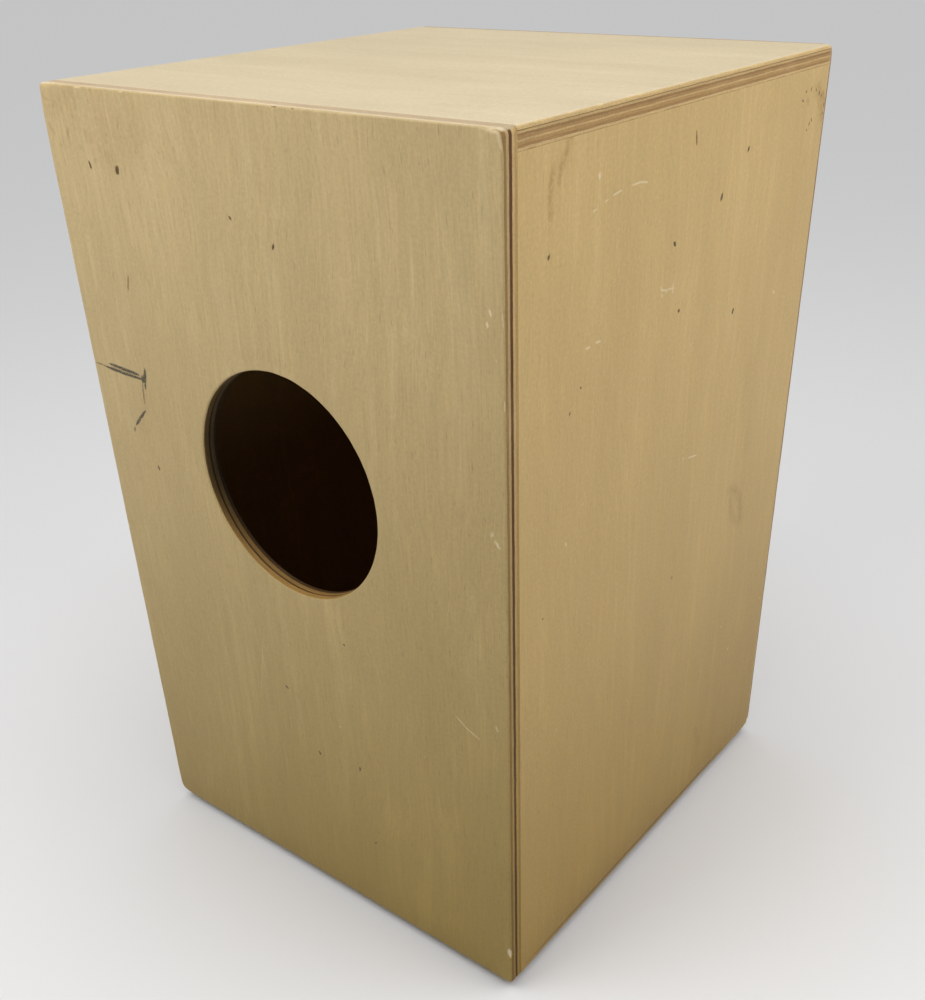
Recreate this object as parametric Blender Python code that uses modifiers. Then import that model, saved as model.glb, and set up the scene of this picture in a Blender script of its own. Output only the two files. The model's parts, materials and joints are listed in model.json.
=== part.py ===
"""Cajon: a plywood box drum with a sound hole behind, a thin screwed-on tapa in front and a
swivelling snare inside.

Metres, +Z up. The origin is the bottom centre of the whole drum. The tapa, which the player
strikes, looks along -Y and the sound hole looks along +Y. Left and right are the player's own,
sitting on the top and facing -Y, so right is -X.
"""

import math

import bmesh
import bpy
from mathutils import Matrix, Vector

# The plywood box.
BOX_WIDTH = 0.300
BOX_DEPTH = 0.313
BOX_HEIGHT = 0.478
PANEL = 0.010
TAPA = 0.003
EASED_EDGE = 0.002
CORNER_RADIUS = 0.003
GAP = 0.0003

# The sound hole in the rear panel, cut a little to the right of the middle.
HOLE_RADIUS = 0.065
HOLE_HEIGHT = 0.2865
HOLE_OFFSET = -0.0038
HOLE_ARRIS = 0.0008

# Pine battens that frame the front opening, and the screws that hold the tapa to them.
BATTEN = 0.015
SCREW_SHANK = 0.0015
SCREW_HEAD = 0.0035
SCREW_HEAD_RISE = 0.0019
SCREW_LENGTH = 0.015
TAPA_SCREWS_UP = 5
TAPA_SCREWS_ACROSS = 5

# Rubber feet.
FOOT_HEIGHT = 0.007
FOOT_RADIUS = 0.011
FOOT_TAPER = 0.0015
FOOT_INSET = 0.035
FOOT_RECESS_RADIUS = 0.005
FOOT_RECESS = 0.0032
FOOT_SCREW_LENGTH = 0.012

# The snare bar lies across the box in two open clips, and its wires lean on the tapa.
BAR_RADIUS = 0.010
BAR_FLAT = 0.008
BAR_FLAT_WIDTH = 0.150
BAR_DROP = 0.075
SPIGOT_RADIUS = 0.007
SNARE_LEAN = math.radians(8.0)
SLEEVE_WALL = 0.0019
SLEEVE_LENGTH = 0.013

CLIP_PLATE = 0.003
CLIP_PLATE_WIDTH = 0.024
CLIP_PLATE_HEIGHT = 0.060
CLIP_RING_LENGTH = 0.014
CLIP_RING_WALL = 0.0035
CLIP_MOUTH = 0.014
CLIP_SCREW_OFFSET = 0.022
CLIP_SCREW_LENGTH = 0.010

SNARE_OFFSET = 0.040
SNARE_PLATE = (0.050, 0.002, 0.014)
SNARE_PLATE_CENTRE = -0.002
SNARE_WIRES = 10
SNARE_PITCH = 0.0048
WIRE_RADIUS = 0.0007
WIRE_LENGTH = 0.135
PLATE_SCREW_SPACING = 0.034
PLATE_SCREW_LENGTH = 0.010

# Places that follow from the sizes above.
REAR_Y = (BOX_DEPTH + SCREW_HEAD_RISE + GAP) / 2
FRONT_Y = REAR_Y - BOX_DEPTH
BASE_Z = FOOT_HEIGHT
TOP_Z = BASE_Z + BOX_HEIGHT
HALF_WIDTH = BOX_WIDTH / 2
INNER_HALF = HALF_WIDTH - PANEL
CARCASS_FRONT = FRONT_Y + TAPA + GAP
CARCASS_REAR = REAR_Y - PANEL - GAP
UNDER_TOP = TOP_Z - PANEL
OVER_BOTTOM = BASE_Z + PANEL
BATTEN_LINE = INNER_HALF - GAP - BATTEN / 2
BATTEN_BACK = CARCASS_FRONT + BATTEN

WIRE_DEPTH = BAR_FLAT + GAP + SNARE_PLATE[1] / 2
PLATE_LOW = SNARE_PLATE_CENTRE - SNARE_PLATE[2] / 2
WIRE_TIP = PLATE_LOW - WIRE_LENGTH
WIRE_REACH = (WIRE_DEPTH + WIRE_RADIUS) * math.cos(SNARE_LEAN) - WIRE_TIP * math.sin(SNARE_LEAN)
BAR_Y = FRONT_Y + TAPA + GAP + WIRE_REACH
BAR_Z = UNDER_TOP - BAR_DROP
CLIP_FACE = INNER_HALF - GAP - CLIP_PLATE
SPIGOT_LENGTH = CLIP_RING_LENGTH + GAP
BAR_HALF = CLIP_FACE - GAP
CLIP_BORE = SPIGOT_RADIUS + GAP + SLEEVE_WALL + GAP

HOLE_SEGMENTS = 72
ROUND_SEGMENTS = 32
SCREW_SEGMENTS = 12
WIRE_SEGMENTS = 6
CORNER_ANGLE = math.radians(35)

SIDES = {
    "+X": Vector((1, 0, 0)),
    "-X": Vector((-1, 0, 0)),
    "+Y": Vector((0, 1, 0)),
    "-Y": Vector((0, -1, 0)),
    "+Z": Vector((0, 0, 1)),
    "-Z": Vector((0, 0, -1)),
}
FACING_FRONT = (math.radians(90), 0, 0)
FACING_DOWN = (math.radians(180), 0, 0)
ALONG_X = (0, math.radians(90), 0)
AGAINST_X = (0, math.radians(-90), 0)


def clear_scene():
    for old in list(bpy.data.objects):
        bpy.data.objects.remove(old, do_unlink=True)


def make_collection(name):
    collection = bpy.data.collections.new(name)
    bpy.context.scene.collection.children.link(collection)
    return collection


def make_material(name, colour, roughness, metallic=0.0):
    material = bpy.data.materials.new(name)
    material.use_nodes = True
    shader = material.node_tree.nodes["Principled BSDF"]
    shader.inputs["Base Color"].default_value = (*colour, 1.0)
    shader.inputs["Roughness"].default_value = roughness
    shader.inputs["Metallic"].default_value = metallic
    return material


def add_object(name, bm, material, collection, location=(0, 0, 0), rotation=(0, 0, 0)):
    """Turn a bmesh into a named object, shaded smooth but for its corners, and free the bmesh."""
    mesh = bpy.data.meshes.new(name)
    bm.to_mesh(mesh)
    bm.free()
    mesh.shade_smooth()
    mesh.set_sharp_from_angle(angle=CORNER_ANGLE)
    if material is not None:
        mesh.materials.append(material)
    thing = bpy.data.objects.new(name, mesh)
    thing.location = location
    thing.rotation_euler = rotation
    collection.objects.link(thing)
    return thing


# Solids

def box_bmesh(size):
    bm = bmesh.new()
    bmesh.ops.create_cube(bm, size=1.0, matrix=Matrix.Diagonal((*size, 1.0)))
    return bm


def add_rod(bm, radius, length, centre, direction, segments):
    """Add a capped cylinder along a direction to a bmesh."""
    turn = Vector(direction).to_track_quat("Z", "Y").to_matrix().to_4x4()
    bmesh.ops.create_cone(bm, cap_ends=True, segments=segments, radius1=radius, radius2=radius,
                          depth=length, matrix=Matrix.Translation(centre) @ turn)


def touches(face, side):
    return face.normal.dot(SIDES[side]) > 0.99


def round_edges(bm, pairs, radius, segments):
    """Round the edges where two named sides of a box meet."""
    bm.normal_update()
    chosen = []
    for edge in bm.edges:
        for first, second in pairs:
            if any(touches(f, first) for f in edge.link_faces) and \
                    any(touches(f, second) for f in edge.link_faces):
                chosen.append(edge)
    bmesh.ops.bevel(bm, geom=chosen, offset=radius, segments=segments, profile=0.5, affect="EDGES")


def round_rim(bm, side, radius, segments):
    """Round every edge around one side of a box, past corners that are already round."""
    bm.normal_update()
    rim = [edge for edge in bm.edges
           if sum(touches(face, side) for face in edge.link_faces) == 1]
    bmesh.ops.bevel(bm, geom=rim, offset=radius, segments=segments, profile=0.5, affect="EDGES")


def size_and_centre(low, high):
    low = Vector(low)
    high = Vector(high)
    return high - low, (low + high) / 2


def mark_as_cutter(cutter):
    cutter.display_type = "WIRE"
    cutter.hide_render = True
    return cutter


def add_cutter(name, bm, cutters, location=(0, 0, 0), parent=None):
    cutter = mark_as_cutter(add_object(name, bm, None, cutters, location))
    cutter.parent = parent
    return cutter


def combine(thing, other, operation):
    modifier = thing.modifiers.new(other.name, "BOOLEAN")
    modifier.operation = operation
    modifier.solver = "EXACT"
    modifier.object = other


def drill(thing, cutters, places, direction, depth, radius=SCREW_SHANK + GAP, parent=None):
    """Drill a round hole at each place, reaching depth to both sides of it along direction."""
    bm = bmesh.new()
    for place in places:
        add_rod(bm, radius, 2 * depth, place, direction, SCREW_SEGMENTS)
    combine(thing, add_cutter(thing.name + "_holes", bm, cutters, parent=parent), "DIFFERENCE")


def turned(name, profile, segments, material, collection, location, rotation=(0, 0, 0), closed=False):
    """Turn a profile of (radius, height) points about Z with a Screw modifier."""
    bm = bmesh.new()
    points = [bm.verts.new((radius, 0.0, height)) for radius, height in profile]
    ends = points[1:] + points[:1] if closed else points[1:]
    for start, end in zip(points, ends):
        bm.edges.new((start, end))
    thing = add_object(name, bm, material, collection, location, rotation)
    spin = thing.modifiers.new("turn", "SCREW")
    spin.angle = math.tau
    spin.steps = segments
    spin.render_steps = segments
    spin.use_merge_vertices = True
    spin.merge_threshold = 0.00001
    spin.use_smooth_shade = True
    return thing


def wood_screw(name, material, collection, location, rotation, length=SCREW_LENGTH, parent=None):
    """A pan-head screw: local z is 0 under the head, and the head points along +Z."""
    top = SCREW_HEAD_RISE
    profile = [
        (0.0, top),
        (SCREW_HEAD * 0.60, top),
        (SCREW_HEAD * 0.92, top * 0.62),
        (SCREW_HEAD, 0.0),
        (SCREW_SHANK, 0.0),
        (SCREW_SHANK, -length + 0.003),
        (0.0, -length),
    ]
    thing = turned(name, profile, SCREW_SEGMENTS, material, collection, location, rotation)
    thing.parent = parent
    return thing


# The box

def side_panels(wood, parts, cutters):
    for name, sign, outside in (("side_panel_right", -1, "-X"), ("side_panel_left", 1, "+X")):
        size, centre = size_and_centre((INNER_HALF, CARCASS_FRONT, BASE_Z),
                                       (HALF_WIDTH, CARCASS_REAR, UNDER_TOP - GAP))
        centre.x *= sign
        bm = box_bmesh(size)
        round_edges(bm, [(outside, "-Z")], EASED_EDGE, 3)
        panel = add_object(name, bm, wood, parts, centre)
        places = [(sign * INNER_HALF, BAR_Y, BAR_Z + offset)
                  for offset in (-CLIP_SCREW_OFFSET, CLIP_SCREW_OFFSET)]
        drill(panel, cutters, places, (1, 0, 0), CLIP_SCREW_LENGTH - CLIP_PLATE)


def top_panel(wood, parts):
    size, centre = size_and_centre((-HALF_WIDTH, CARCASS_FRONT, UNDER_TOP),
                                   (HALF_WIDTH, CARCASS_REAR, TOP_Z))
    bm = box_bmesh(size)
    round_edges(bm, [("+X", "+Z"), ("-X", "+Z")], EASED_EDGE, 3)
    add_object("top_panel", bm, wood, parts, centre)


def foot_places():
    return [(f"{end}_{side}", sign * (HALF_WIDTH - FOOT_INSET), y)
            for end, y in (("front", FRONT_Y + FOOT_INSET), ("rear", REAR_Y - FOOT_INSET))
            for side, sign in (("right", -1), ("left", 1))]


def bottom_panel(wood, parts, cutters):
    size, centre = size_and_centre((-INNER_HALF + GAP, CARCASS_FRONT, BASE_Z),
                                   (INNER_HALF - GAP, CARCASS_REAR, OVER_BOTTOM))
    panel = add_object("bottom_panel", box_bmesh(size), wood, parts, centre)
    places = [(x, y, BASE_Z) for _, x, y in foot_places()]
    drill(panel, cutters, places, (0, 0, 1), PANEL - 0.001)


def rear_panel(wood, parts, cutters):
    size, centre = size_and_centre((-HALF_WIDTH, REAR_Y - PANEL, BASE_Z),
                                   (HALF_WIDTH, REAR_Y, TOP_Z))
    bm = box_bmesh(size)
    corners = [("+X", "+Z"), ("-X", "+Z"), ("+X", "-Z"), ("-X", "-Z")]
    round_edges(bm, corners, CORNER_RADIUS, 4)
    round_rim(bm, "+Y", EASED_EDGE, 3)
    panel = add_object("rear_panel", bm, wood, parts, centre)
    half = PANEL / 2
    beyond = 0.001
    flare = HOLE_RADIUS + HOLE_ARRIS + beyond
    profile = [
        (0.0, half + beyond),
        (flare, half + beyond),
        (HOLE_RADIUS, half - HOLE_ARRIS),
        (HOLE_RADIUS, HOLE_ARRIS - half),
        (flare, -half - beyond),
        (0.0, -half - beyond),
    ]
    place = (HOLE_OFFSET, REAR_Y - half, BASE_Z + HOLE_HEIGHT)
    hole = turned("sound_hole", profile, HOLE_SEGMENTS, None, cutters, place, FACING_FRONT)
    combine(panel, mark_as_cutter(hole), "DIFFERENCE")


def tapa(wood, parts, cutters):
    size, centre = size_and_centre((-HALF_WIDTH, FRONT_Y, BASE_Z),
                                   (HALF_WIDTH, FRONT_Y + TAPA, TOP_Z))
    bm = box_bmesh(size)
    corners = [("+X", "+Z"), ("-X", "+Z"), ("+X", "-Z"), ("-X", "-Z")]
    round_edges(bm, corners, CORNER_RADIUS, 4)
    round_rim(bm, "-Y", TAPA / 2, 3)
    panel = add_object("tapa", bm, wood, parts, centre)
    places = [(x, FRONT_Y + TAPA / 2, z) for _, x, z in tapa_screw_places()]
    drill(panel, cutters, places, (0, 1, 0), TAPA)


def tapa_screw_places():
    """Five screws up each side and three more between them along the top and the bottom."""
    low = OVER_BOTTOM + GAP + BATTEN / 2
    high = UNDER_TOP - GAP - BATTEN / 2
    places = []
    for name, x in (("right", -BATTEN_LINE), ("left", BATTEN_LINE)):
        for i in range(TAPA_SCREWS_UP):
            z = low + (high - low) * i / (TAPA_SCREWS_UP - 1)
            places.append((f"tapa_screw_{name}_{i + 1}", x, z))
    for name, z in (("bottom", low), ("top", high)):
        for i in range(1, TAPA_SCREWS_ACROSS - 1):
            x = BATTEN_LINE * (2 * i / (TAPA_SCREWS_ACROSS - 1) - 1)
            places.append((f"tapa_screw_{name}_{i}", x, z))
    return places


def battens(pine, parts, cutters):
    """Two upright battens run from bottom to top, and two short ones fit between them."""
    upright = INNER_HALF - GAP
    between = upright - BATTEN - GAP
    spans = {
        "batten_right": ((-upright, CARCASS_FRONT, OVER_BOTTOM + GAP),
                         (-upright + BATTEN, BATTEN_BACK, UNDER_TOP - GAP)),
        "batten_left": ((upright - BATTEN, CARCASS_FRONT, OVER_BOTTOM + GAP),
                        (upright, BATTEN_BACK, UNDER_TOP - GAP)),
        "batten_bottom": ((-between, CARCASS_FRONT, OVER_BOTTOM + GAP),
                          (between, BATTEN_BACK, OVER_BOTTOM + GAP + BATTEN)),
        "batten_top": ((-between, CARCASS_FRONT, UNDER_TOP - GAP - BATTEN),
                       (between, BATTEN_BACK, UNDER_TOP - GAP)),
    }
    for name, (low, high) in spans.items():
        size, centre = size_and_centre(low, high)
        batten = add_object(name, box_bmesh(size), pine, parts, centre)
        places = [(x, CARCASS_FRONT, z) for _, x, z in tapa_screw_places()
                  if low[0] < x < high[0] and low[2] < z < high[2]]
        drill(batten, cutters, places, (0, 1, 0), BATTEN - 0.002)


def tapa_screws(steel, parts):
    for name, x, z in tapa_screw_places():
        wood_screw(name, steel, parts, (x, FRONT_Y - GAP, z), FACING_FRONT)


def feet(rubber, steel, parts):
    top = FOOT_HEIGHT - GAP
    lower = FOOT_RADIUS - FOOT_TAPER
    bore = SCREW_SHANK + GAP
    profile = [
        (bore, top),
        (FOOT_RADIUS, top),
        (lower, 0.0006),
        (lower - 0.0006, 0.0),
        (FOOT_RECESS_RADIUS, 0.0),
        (FOOT_RECESS_RADIUS, FOOT_RECESS),
        (bore, FOOT_RECESS),
    ]
    for name, x, y in foot_places():
        turned("foot_" + name, profile, ROUND_SEGMENTS, rubber, parts, (x, y, 0), closed=True)
        wood_screw("foot_screw_" + name, steel, parts, (x, y, FOOT_RECESS - GAP), FACING_DOWN,
                   FOOT_SCREW_LENGTH)


# The snare

def snare_bar(pine, parts, cutters, axle):
    """A turned bar with a spigot at each end and a flat in front for the two sets of wires."""
    shoulder = BAR_HALF - SPIGOT_LENGTH
    ease = 0.0008
    profile = [
        (0.0, BAR_HALF),
        (SPIGOT_RADIUS - ease, BAR_HALF),
        (SPIGOT_RADIUS, BAR_HALF - ease),
        (SPIGOT_RADIUS, shoulder),
        (BAR_RADIUS - ease, shoulder),
        (BAR_RADIUS, shoulder - ease),
    ]
    mirrored = [(radius, -height) for radius, height in reversed(profile)]
    bar = turned("snare_bar", profile + mirrored, ROUND_SEGMENTS, pine, parts, (0, 0, 0), ALONG_X)
    bar.parent = axle
    bm = box_bmesh((BAR_FLAT_WIDTH, BAR_RADIUS, 2 * BAR_RADIUS))
    flat = add_cutter("snare_bar_flat", bm, cutters, (0, -BAR_FLAT - BAR_RADIUS / 2, 0), parent=axle)
    combine(bar, flat, "DIFFERENCE")
    places = [(x, -BAR_FLAT, SNARE_PLATE_CENTRE) for _, _, x in plate_screw_places()]
    drill(bar, cutters, places, (0, 1, 0), PLATE_SCREW_LENGTH - 0.001, parent=axle)


def plate_screw_places():
    return [(side, i + 1, sign * SNARE_OFFSET + step * PLATE_SCREW_SPACING / 2)
            for side, sign in (("right", -1), ("left", 1))
            for i, step in enumerate((-1, 1))]


def snare_sets(steel, parts, cutters, axle):
    """Each set is one soldered piece: an end plate and ten wires that hang from it."""
    for side, sign in (("right", -1), ("left", 1)):
        centre = Vector((sign * SNARE_OFFSET, -WIRE_DEPTH, SNARE_PLATE_CENTRE))
        plate = add_object("snare_wires_" + side, box_bmesh(SNARE_PLATE), steel, parts, centre)
        plate.parent = axle
        bm = bmesh.new()
        overlap = SNARE_PLATE[2] * 0.15
        for i in range(SNARE_WIRES):
            x = centre.x + (i - (SNARE_WIRES - 1) / 2) * SNARE_PITCH
            middle = (x, -WIRE_DEPTH, (PLATE_LOW + overlap + WIRE_TIP) / 2)
            add_rod(bm, WIRE_RADIUS, PLATE_LOW + overlap - WIRE_TIP, middle, (0, 0, 1), WIRE_SEGMENTS)
        wires = add_cutter("wires_" + side, bm, cutters, parent=axle)
        combine(plate, wires, "UNION")
        places = [(x, -WIRE_DEPTH, SNARE_PLATE_CENTRE)
                  for name, _, x in plate_screw_places() if name == side]
        drill(plate, cutters, places, (0, 1, 0), SNARE_PLATE[1], parent=axle)


def plate_screws(steel, parts, axle):
    face = -WIRE_DEPTH - SNARE_PLATE[1] / 2 - GAP
    for side, number, x in plate_screw_places():
        wood_screw(f"snare_screw_{side}_{number}", steel, parts, (x, face, SNARE_PLATE_CENTRE),
                   FACING_FRONT, PLATE_SCREW_LENGTH, axle)


def sleeves(rubber, parts, axle):
    """A rubber sleeve on each spigot grips the clip, so the bar stays where it is turned."""
    inner = SPIGOT_RADIUS + GAP
    outer = inner + SLEEVE_WALL
    half = SLEEVE_LENGTH / 2
    profile = [(inner, half), (outer, half), (outer, -half), (inner, -half)]
    middle = BAR_HALF - SPIGOT_LENGTH / 2
    for side, sign in (("right", -1), ("left", 1)):
        sleeve = turned("bar_sleeve_" + side, profile, ROUND_SEGMENTS, rubber, parts,
                        (sign * middle, 0, 0), ALONG_X, closed=True)
        sleeve.parent = axle


def bar_clips(plastic, steel, parts, cutters):
    """An open ring on a back plate holds each end of the bar; its mouth looks to the rear."""
    ring_centre = CLIP_FACE - CLIP_RING_LENGTH / 2
    for side, sign, turn in (("right", -1, ALONG_X), ("left", 1, AGAINST_X)):
        bm = box_bmesh((CLIP_PLATE, CLIP_PLATE_WIDTH, CLIP_PLATE_HEIGHT))
        centre = (sign * (CLIP_FACE + CLIP_PLATE / 2), BAR_Y, BAR_Z)
        clip = add_object("snare_clip_" + side, bm, plastic, parts, centre)
        bm = bmesh.new()
        ring = (sign * (ring_centre + GAP), BAR_Y, BAR_Z)
        add_rod(bm, CLIP_BORE + CLIP_RING_WALL, CLIP_RING_LENGTH + 2 * GAP, ring, (1, 0, 0),
                ROUND_SEGMENTS)
        combine(clip, add_cutter(f"clip_{side}_ring", bm, cutters), "UNION")
        bm = bmesh.new()
        bore = (sign * (ring_centre - GAP), BAR_Y, BAR_Z)
        add_rod(bm, CLIP_BORE, CLIP_RING_LENGTH + 2 * GAP, bore, (1, 0, 0), ROUND_SEGMENTS)
        combine(clip, add_cutter(f"clip_{side}_bore", bm, cutters), "DIFFERENCE")
        reach = CLIP_BORE + 2 * CLIP_RING_WALL
        bm = box_bmesh((CLIP_RING_LENGTH + 2 * GAP, reach, CLIP_MOUTH))
        mouth = add_cutter(f"clip_{side}_mouth", bm, cutters,
                           (bore[0], BAR_Y + reach / 2, BAR_Z))
        combine(clip, mouth, "DIFFERENCE")
        places = [(centre[0], BAR_Y, BAR_Z + offset)
                  for offset in (-CLIP_SCREW_OFFSET, CLIP_SCREW_OFFSET)]
        drill(clip, cutters, places, (1, 0, 0), CLIP_PLATE)
        face = sign * (CLIP_FACE - GAP)
        for number, (_, y, z) in enumerate(places, 1):
            wood_screw(f"clip_screw_{side}_{number}", steel, parts, (face, y, z), turn,
                       CLIP_SCREW_LENGTH)


def main():
    clear_scene()
    parts = make_collection("cajon")
    cutters = make_collection("cutters")
    birch = make_material("birch_ply", (0.46, 0.35, 0.17), 0.50)
    tapa_wood = make_material("tapa_veneer", (0.52, 0.40, 0.21), 0.45)
    pine = make_material("pine", (0.58, 0.42, 0.22), 0.60)
    steel = make_material("zinc_steel", (0.62, 0.62, 0.60), 0.35, 1.0)
    rubber = make_material("black_rubber", (0.025, 0.025, 0.025), 0.80)
    plastic = make_material("black_plastic", (0.03, 0.03, 0.032), 0.45)

    side_panels(birch, parts, cutters)
    top_panel(birch, parts)
    bottom_panel(birch, parts, cutters)
    rear_panel(birch, parts, cutters)
    tapa(tapa_wood, parts, cutters)
    battens(pine, parts, cutters)
    tapa_screws(steel, parts)
    feet(rubber, steel, parts)

    axle = bpy.data.objects.new("snare_axis", None)
    axle.location = (0, BAR_Y, BAR_Z)
    axle.rotation_euler = (-SNARE_LEAN, 0, 0)
    parts.objects.link(axle)
    snare_bar(pine, parts, cutters, axle)
    snare_sets(steel, parts, cutters, axle)
    plate_screws(steel, parts, axle)
    sleeves(rubber, parts, axle)
    bar_clips(plastic, steel, parts, cutters)


main()
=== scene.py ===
import json
from itertools import pairwise
from math import cos, pi, radians, sin, tau

import bmesh
import bpy
import numpy as np
from mathutils import Matrix, Vector, noise
from mathutils.geometry import delaunay_2d_cdt
from numpy.linalg import norm

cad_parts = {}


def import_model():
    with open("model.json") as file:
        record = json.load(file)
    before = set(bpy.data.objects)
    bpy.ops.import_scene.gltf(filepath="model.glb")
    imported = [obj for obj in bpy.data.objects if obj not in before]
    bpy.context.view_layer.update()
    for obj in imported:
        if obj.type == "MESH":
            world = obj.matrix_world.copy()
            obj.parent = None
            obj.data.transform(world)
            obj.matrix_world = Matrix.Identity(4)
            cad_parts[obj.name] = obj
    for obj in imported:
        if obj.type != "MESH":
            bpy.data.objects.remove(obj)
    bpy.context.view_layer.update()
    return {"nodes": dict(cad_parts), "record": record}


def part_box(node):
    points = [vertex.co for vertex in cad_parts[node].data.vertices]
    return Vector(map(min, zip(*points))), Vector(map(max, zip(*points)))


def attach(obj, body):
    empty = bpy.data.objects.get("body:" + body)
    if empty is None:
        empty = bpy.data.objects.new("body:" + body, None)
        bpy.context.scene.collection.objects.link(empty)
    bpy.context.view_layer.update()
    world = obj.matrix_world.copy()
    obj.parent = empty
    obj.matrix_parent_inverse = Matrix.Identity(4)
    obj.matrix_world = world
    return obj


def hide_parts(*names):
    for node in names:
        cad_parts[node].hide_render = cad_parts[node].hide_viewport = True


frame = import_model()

MM = 0.001
X, Y, Z = Vector((1, 0, 0)), Vector((0, 1, 0)), Vector((0, 0, 1))
SIDES = ("u+", "u-", "v+", "v-")

# The camera's place, angle and lens.
CAMERA_PLACE = (-0.4229, 0.5258, 0.5584)
CAMERA_TURN = (58.51, 1.59, -142.08)
CAMERA_LENS = 40.9
CAMERA_SHIFT = (-0.0049, 0.098)

# Distances from an edge, in millimetres, at which a panel's face has rows of points.
EDGE_ROWS = (0.12, 0.3, 0.55, 0.9, 1.4, 2.2, 3.4, 5.0, 7.6)
HOLE_ROWS = (0.1, 0.3, 0.6, 1.0, 1.7)
OUTLINE_STEP = 1.5 * MM
FIELD_STEP = 12 * MM
FIELD_MARGIN = 4 * MM
MARK_MARGIN = 0.3 * MM
HOLE_SEGMENTS = 200
HOLE_RADIUS = 65 * MM
GLUED = 0.3 * MM
WELD = 0.002 * MM
FAR = 10.0
MARK_KINDS = ("pencil", "dark", "bare", "smudge")

# The snare, in the frame of its bar, which leans from the upright.
SNARE_LEAN = radians(8)
SNARE_OFFSET = 0.040
SNARE_DEPTH = 0.0093
SNARE_PLATE = (0.050, 0.002, 0.014)
SNARE_PLATE_CENTRE = -0.002
SNARE_TIP = -0.144
SNARE_WIRES = 10
SNARE_PITCH = 0.0048
COIL_RADIUS = 0.50 * MM
COIL_WIRE = 0.17 * MM
COIL_TURN = 1.25 * MM

SCREW_HEAD = 3.45 * MM
SCREW_RISE = 1.88 * MM
SCREW_SHANK = 1.5 * MM


# Panels

def rough(point, scale, seed=0):
    """Smooth noise from 0 to 1 at a point in metres."""
    place = Vector(point) * scale + Vector((seed, -seed, 2.3 * seed))
    return 0.5 + 0.5 * noise.noise(place)


def stations(length, step, fine):
    """Distances along a straight edge: fine ones near both ends and even ones between."""
    ends = [f for f in fine if f < length / 3]
    count = max(2, round((length - 2 * ends[-1]) / step))
    middle = np.linspace(ends[-1], length - ends[-1], count + 1)[1:-1]
    return list(ends) + list(middle) + [length - f for f in reversed(ends)]


def outline(half_u, half_v, corners):
    """Points and outward directions around a rectangle whose corners have their own radii."""
    points, outwards = [], []
    signs = [(1, 1), (-1, 1), (-1, -1), (1, -1)]
    fine = [0.0] + [row * MM for row in EDGE_ROWS]
    for number, (su, sv) in enumerate(signs):
        radius = corners[number]
        centre = np.array([su * (half_u - radius), sv * (half_v - radius)])
        start = radians(90 * number)
        steps = max(3, int(radius / (0.6 * MM))) if radius > 0 else 0
        for i in range(steps + 1 if steps else 1):
            angle = start + (pi / 2) * (i / steps if steps else 0.5)
            out = np.array([cos(angle), sin(angle)])
            points.append(centre + radius * out)
            outwards.append(out)
        following = (number + 1) % 4
        tu, tv = signs[following]
        other = corners[following]
        side = np.array([(0, 1), (-1, 0), (0, -1), (1, 0)][number], float)
        direction = np.array([-side[1], side[0]])
        begin = points[-1]
        end = np.array([tu * (half_u - other), tv * (half_v - other)]) + other * side
        length = float(norm(end - begin))
        for s in stations(length, OUTLINE_STEP, fine)[1:-1]:
            points.append(begin + direction * s)
            outwards.append(side)
    return np.array(points), np.array(outwards)


def edge_distance(points, half_u, half_v, corners, sides):
    """Distance of each point inwards from the named sides of a rectangle with round corners."""
    def gap(place, half, axis):
        ahead = half - place if axis + "+" in sides else FAR
        behind = half + place if axis + "-" in sides else FAR
        return np.where(place > 0, ahead, behind)

    u, v = points[:, 0], points[:, 1]
    du, dv = gap(u, half_u, "u"), gap(v, half_v, "v")
    radius = np.where(u > 0, np.where(v > 0, corners[0], corners[3]),
                      np.where(v > 0, corners[1], corners[2]))
    round_off = radius - np.hypot(np.maximum(radius - du, 0), np.maximum(radius - dv, 0))
    in_corner = (du < radius) & (dv < radius)
    return np.where(in_corner, round_off, np.minimum(du, dv))


def triangles(points, loops, hole=None):
    """Delaunay triangles inside the first loop, less a round hole (centre, radius)."""
    edges = [(loop[i], loop[(i + 1) % len(loop)]) for loop in loops for i in range(len(loop))]
    made = delaunay_2d_cdt([Vector(p) for p in points], edges, [], 1, 1e-7)
    coords = np.array([tuple(p) for p in made[0]])
    place = {old: new for new, olds in enumerate(made[3]) for old in olds}
    faces = [list(face) for face in made[2]]
    if hole is not None:
        centre, radius = hole
        faces = [f for f in faces if norm(coords[f].mean(0) - centre) > radius]
    return coords, faces, [[place[i] for i in loop] for loop in loops]


def rounding(distance, radius):
    """Depth below the face, near an edge rounded to a radius."""
    inside = np.clip(radius - distance, 0, radius)
    return radius - np.sqrt(np.maximum(radius ** 2 - inside ** 2, 0))


def mark_points(path, width):
    """Rows of points across a path and round its ends, close enough to carry a mark so wide."""
    made = []
    for number, (start, end) in enumerate(pairwise(path)):
        length = norm(end - start)
        ahead = (end - start) / length
        aside = np.array([-ahead[1], ahead[0]])
        count = max(2, int(length / max(0.5 * width, 0.7 * MM)) + 1)
        steps = list(np.linspace(0, length, count))
        if number == 0:
            steps = [-0.9 * width, -0.5 * width] + steps
        if number == len(path) - 2:
            steps += [length + 0.5 * width, length + 0.9 * width]
        for step in steps:
            for offset in (-0.9, -0.5, -0.22, 0, 0.22, 0.5, 0.9):
                made.append(start + ahead * step + aside * offset * width)
    return np.array(made)


def beside_path(places, path):
    """Each place's distance from a path, and how far along it the nearest point is, 0 to 1."""
    nearest = np.full(len(places), FAR)
    share = np.zeros(len(places))
    total = sum(norm(b - a) for a, b in pairwise(path))
    run = 0.0
    for start, end in pairwise(path):
        step = end - start
        length = norm(step)
        t = np.clip((places - start) @ step / length ** 2, 0, 1)
        gap = norm(places - start - t[:, None] * step, axis=1)
        closer = gap < nearest
        nearest[closer] = gap[closer]
        share[closer] = (run + t[closer] * length) / total
        run += length
    return nearest, share


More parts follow.
